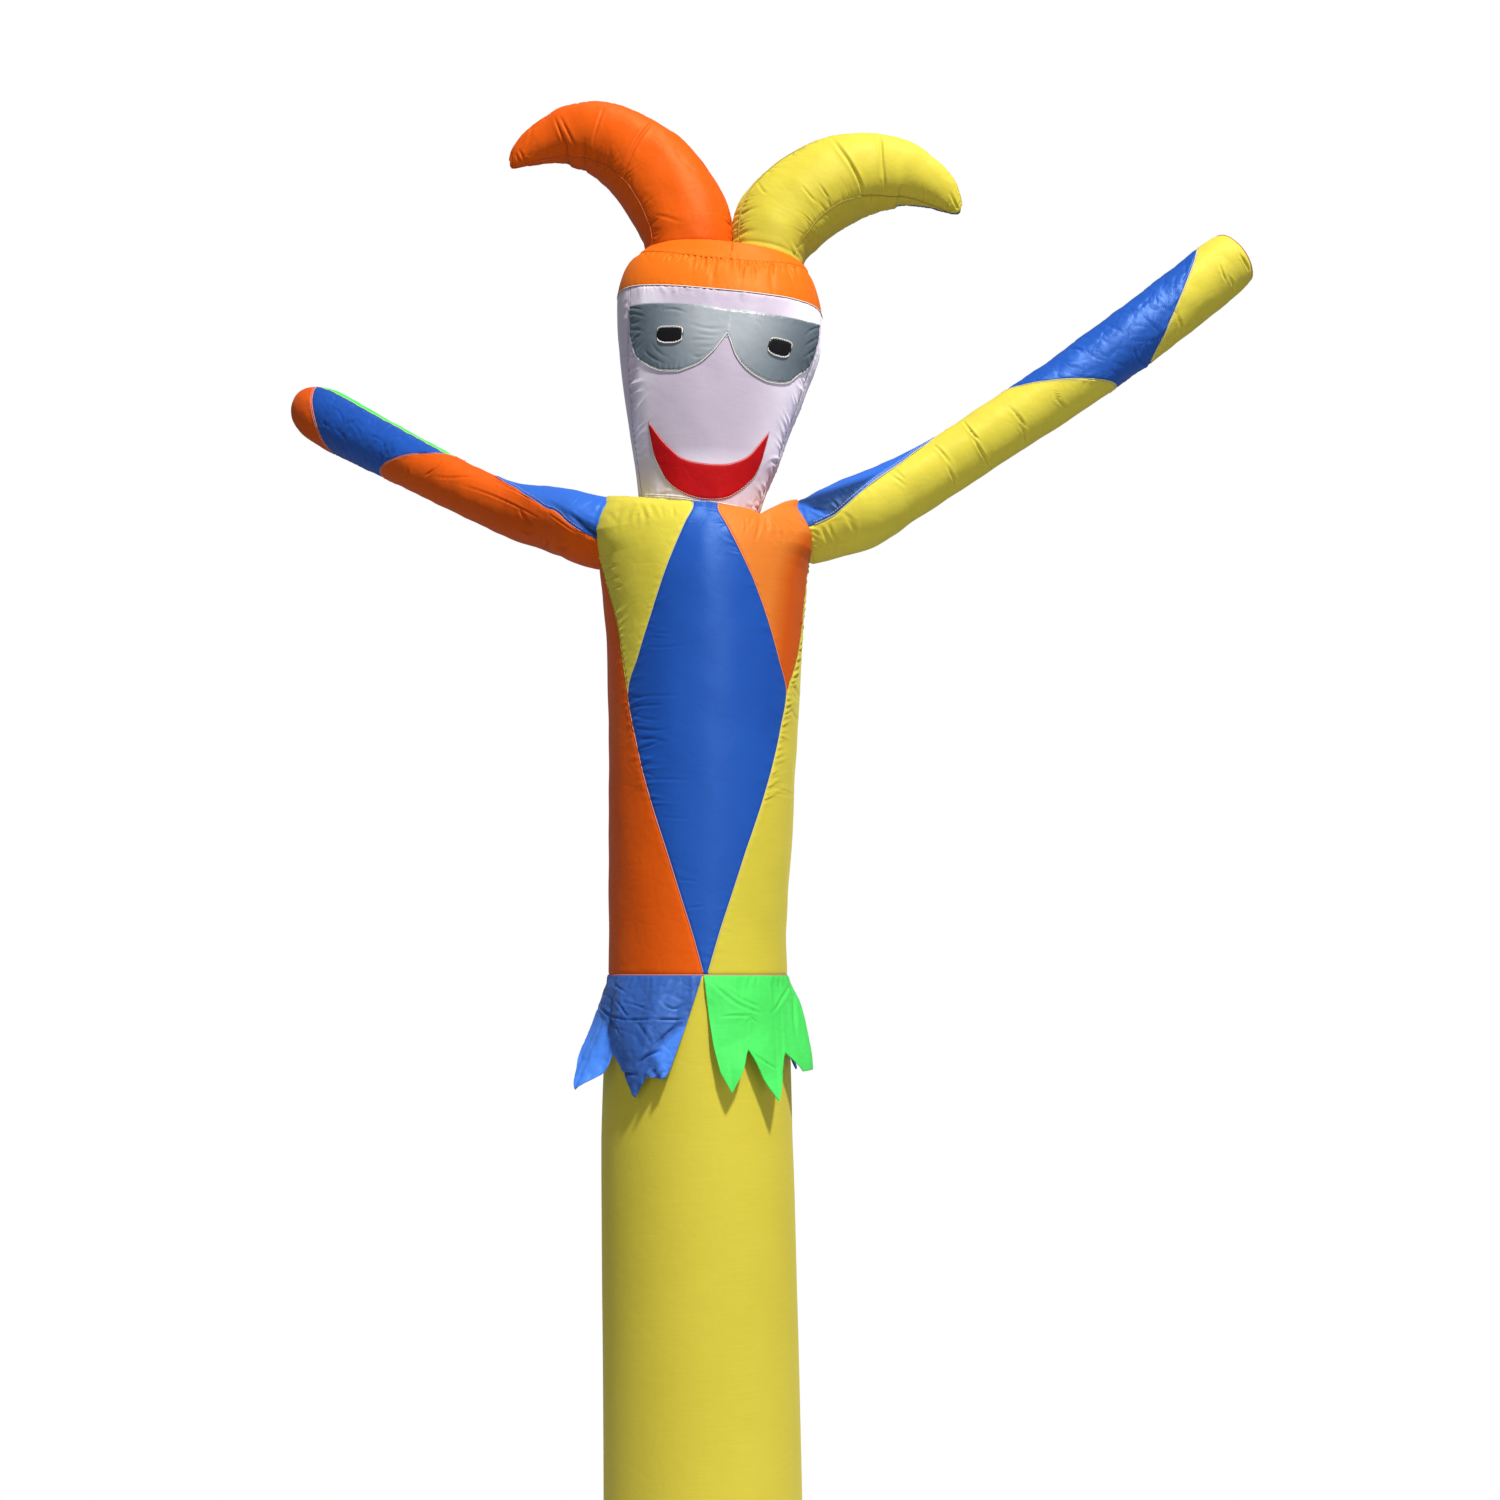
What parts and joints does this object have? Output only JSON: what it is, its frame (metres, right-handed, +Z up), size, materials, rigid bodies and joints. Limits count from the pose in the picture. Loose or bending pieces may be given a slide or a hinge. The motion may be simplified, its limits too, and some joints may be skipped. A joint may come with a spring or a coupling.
{
  "type": "inflatable air dancer",
  "caption": "Inflatable air dancer: a jester figure of sewn coated cloth, one tube leg, torso of coloured panels, two arms, horned cap and a jagged skirt, standing as when full of air.",
  "frame": {"origin": "on the floor, at the middle of the figure's reach in X and Y; the leg's foot is centred at x -0.048 m, y -0.1285 m", "axes": "+Z up along the leg, -Y out of the figure's face, +X towards the raised arm with the flat end"},
  "size_m": [1.7423, 0.5811, 3.042],
  "materials": {
    "yellow": "slight sheen",
    "orange": "slight sheen",
    "blue": "slight sheen",
    "green": "slight sheen",
    "white": "slight sheen",
    "satin": "satin",
    "black": "slight sheen",
    "red": "slight sheen"
  },
  "bodies": {
    "root": {"leg_tube": "yellow", "torso_front_diamond": "blue", "torso_front_left": "yellow", "torso_front_right": "orange", "torso_side_left": "orange", "torso_side_right": "yellow", "torso_back_diamond": "blue", "torso_back_left": "yellow", "torso_back_right": "orange", "head_face": "white", "head_side_left": "white", "head_side_right": "white", "head_back": "white", "cap_band_front": "orange", "cap_band_back": "orange", "cap_top_left": "orange", "cap_top_right": "orange", "horn_left_front": "orange", "horn_left_inner": "orange", "horn_left_outer": "orange", "horn_left_back": "orange", "horn_right_front": "yellow", "horn_right_inner": "yellow", "horn_right_outer": "yellow", "horn_right_back": "blue", "arm_right_shoulder": "blue", "arm_right_upper": "yellow", "arm_right_middle": "blue", "arm_right_end": "yellow", "arm_right_disc": "yellow", "arm_left_shoulder": "blue", "arm_left_upper": "orange", "arm_left_forearm_front": "blue", "arm_left_forearm_back": "green", "arm_left_end": "orange", "skirt_front_left": "blue", "skirt_front_right": "green", "skirt_back_left": "green", "skirt_back_right": "blue", "face_mask": "satin", "face_mouth": "red", "eye_left": "black", "eye_right": "black"}
  },
  "joints": []
}
